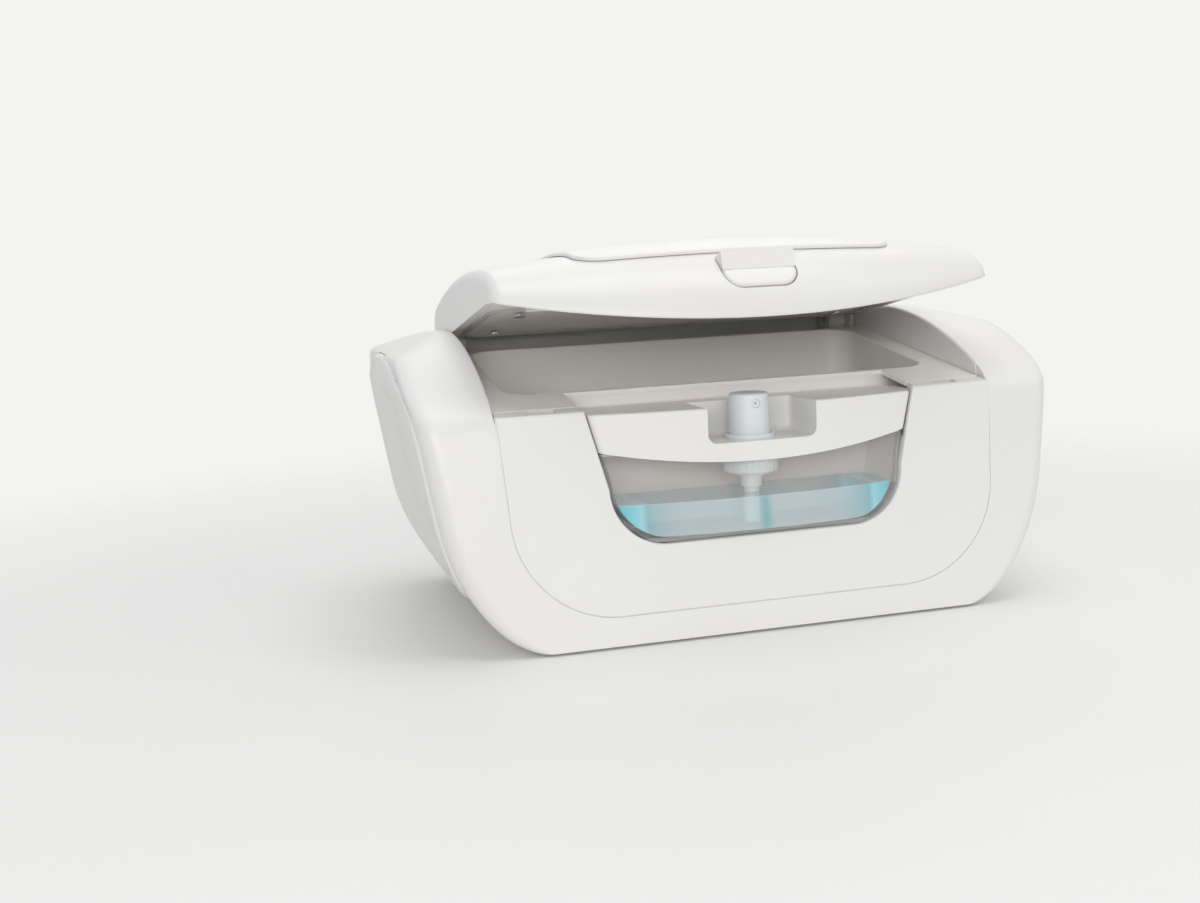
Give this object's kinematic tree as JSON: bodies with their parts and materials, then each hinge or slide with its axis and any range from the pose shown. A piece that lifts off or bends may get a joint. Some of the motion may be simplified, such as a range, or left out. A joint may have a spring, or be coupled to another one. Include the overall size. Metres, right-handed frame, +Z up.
{
  "type": "baby wipe warmer",
  "caption": "Baby wipe warmer: wrap-around housing with a hinged, latching lid over a heated compartment, and a clear front water tank with a push-down mist nozzle.",
  "frame": {"origin": "middle of the whole object's plan at rest, on the surface it stands on", "axes": "+X across the width towards the right end as seen from the front, +Y from the front panel to the hinge side, +Z up"},
  "size_m": [0.3012, 0.189, 0.172],
  "materials": {
    "shell_white": "satin",
    "cap_white": "smooth",
    "inner_white": "satin",
    "tub_white": "satin",
    "foot_rubber": "matt",
    "seal_rubber": "matt",
    "steel": "plain",
    "switch_steel": "plain",
    "heater_alloy": "rolled",
    "fuse_alloy": "plain",
    "film_amber": "smooth film",
    "pad_grey": "felted fibre",
    "board_green": "coated laminate",
    "parts_black": "matt",
    "jack_black": "smooth",
    "lead_red": "smooth",
    "lead_white": "smooth",
    "tank_clear": "clear, moulded",
    "water_blue": "still water",
    "pump_white": "smooth",
    "tube_clear": "translucent tube"
  },
  "bodies": {
    "base": {"outer_shell": "shell_white", "front_panel": "shell_white", "side_cap_left": "shell_white", "side_cap_right": "shell_white", "base_plate": "shell_white", "foot_front_left": "foot_rubber", "foot_front_right": "foot_rubber", "foot_rear_left": "foot_rubber", "foot_rear_right": "foot_rubber", "base_screws": "steel", "wipe_tub": "tub_white", "tank_well": "tub_white", "heater_plate": "heater_alloy", "heater_film": "film_amber", "insulation_pad": "pad_grey", "thermostat": "switch_steel", "thermal_fuse": "fuse_alloy", "control_board": "board_green", "board_parts": "parts_black", "board_screws": "steel", "dc_jack": "jack_black", "jack_lead": "lead_red", "heater_lead": "lead_white", "hinge_pin_left": "steel", "hinge_pin_right": "steel", "water_tank": "tank_clear", "water": "water_blue", "tank_gasket": "seal_rubber", "tank_cap": "cap_white", "pump_collar": "pump_white", "pump_cylinder": "pump_white", "pump_spring": "steel", "dip_tube": "tube_clear"},
    "nozzle": {"pump_stem": "pump_white", "mist_nozzle": "pump_white", "nozzle_insert": "pump_white"},
    "lid": {"lid_shell": "shell_white", "lid_top_plate": "shell_white", "lid_liner": "tub_white", "lid_seal": "seal_rubber", "lid_screws": "steel", "pump_presser": "tub_white", "latch_guide": "tub_white", "button_springs": "steel"},
    "button": {"latch_button": "cap_white"},
    "latch": {"latch_bar": "inner_white"}
  },
  "joints": [
    {"name": "lid_hinge", "type": "hinge", "parent": "base", "child": "lid", "pos_m": [0, 0.07796, 0.126], "axis": [-1, 0, 0], "range_deg": [-18, 70]},
    {"name": "button_press", "type": "slide", "parent": "lid", "child": "button", "axis": [0, 0.9511, -0.309], "range_m": [0, 0.002], "stiffness_N_per_m": 1200},
    {"name": "latch_slide", "type": "slide", "parent": "lid", "child": "latch", "axis": [0, 0.9511, -0.309], "range_m": [0, 0.002]},
    {"name": "nozzle_press", "type": "slide", "parent": "base", "child": "nozzle", "axis": [0, 0, -1], "range_m": [0, 0.0035], "stiffness_N_per_m": 1500, "deforming": ["pump_spring"]}
  ],
  "couplings": [
    {"joint": "latch_slide", "follows": "button_press", "ratio": 1}
  ]
}
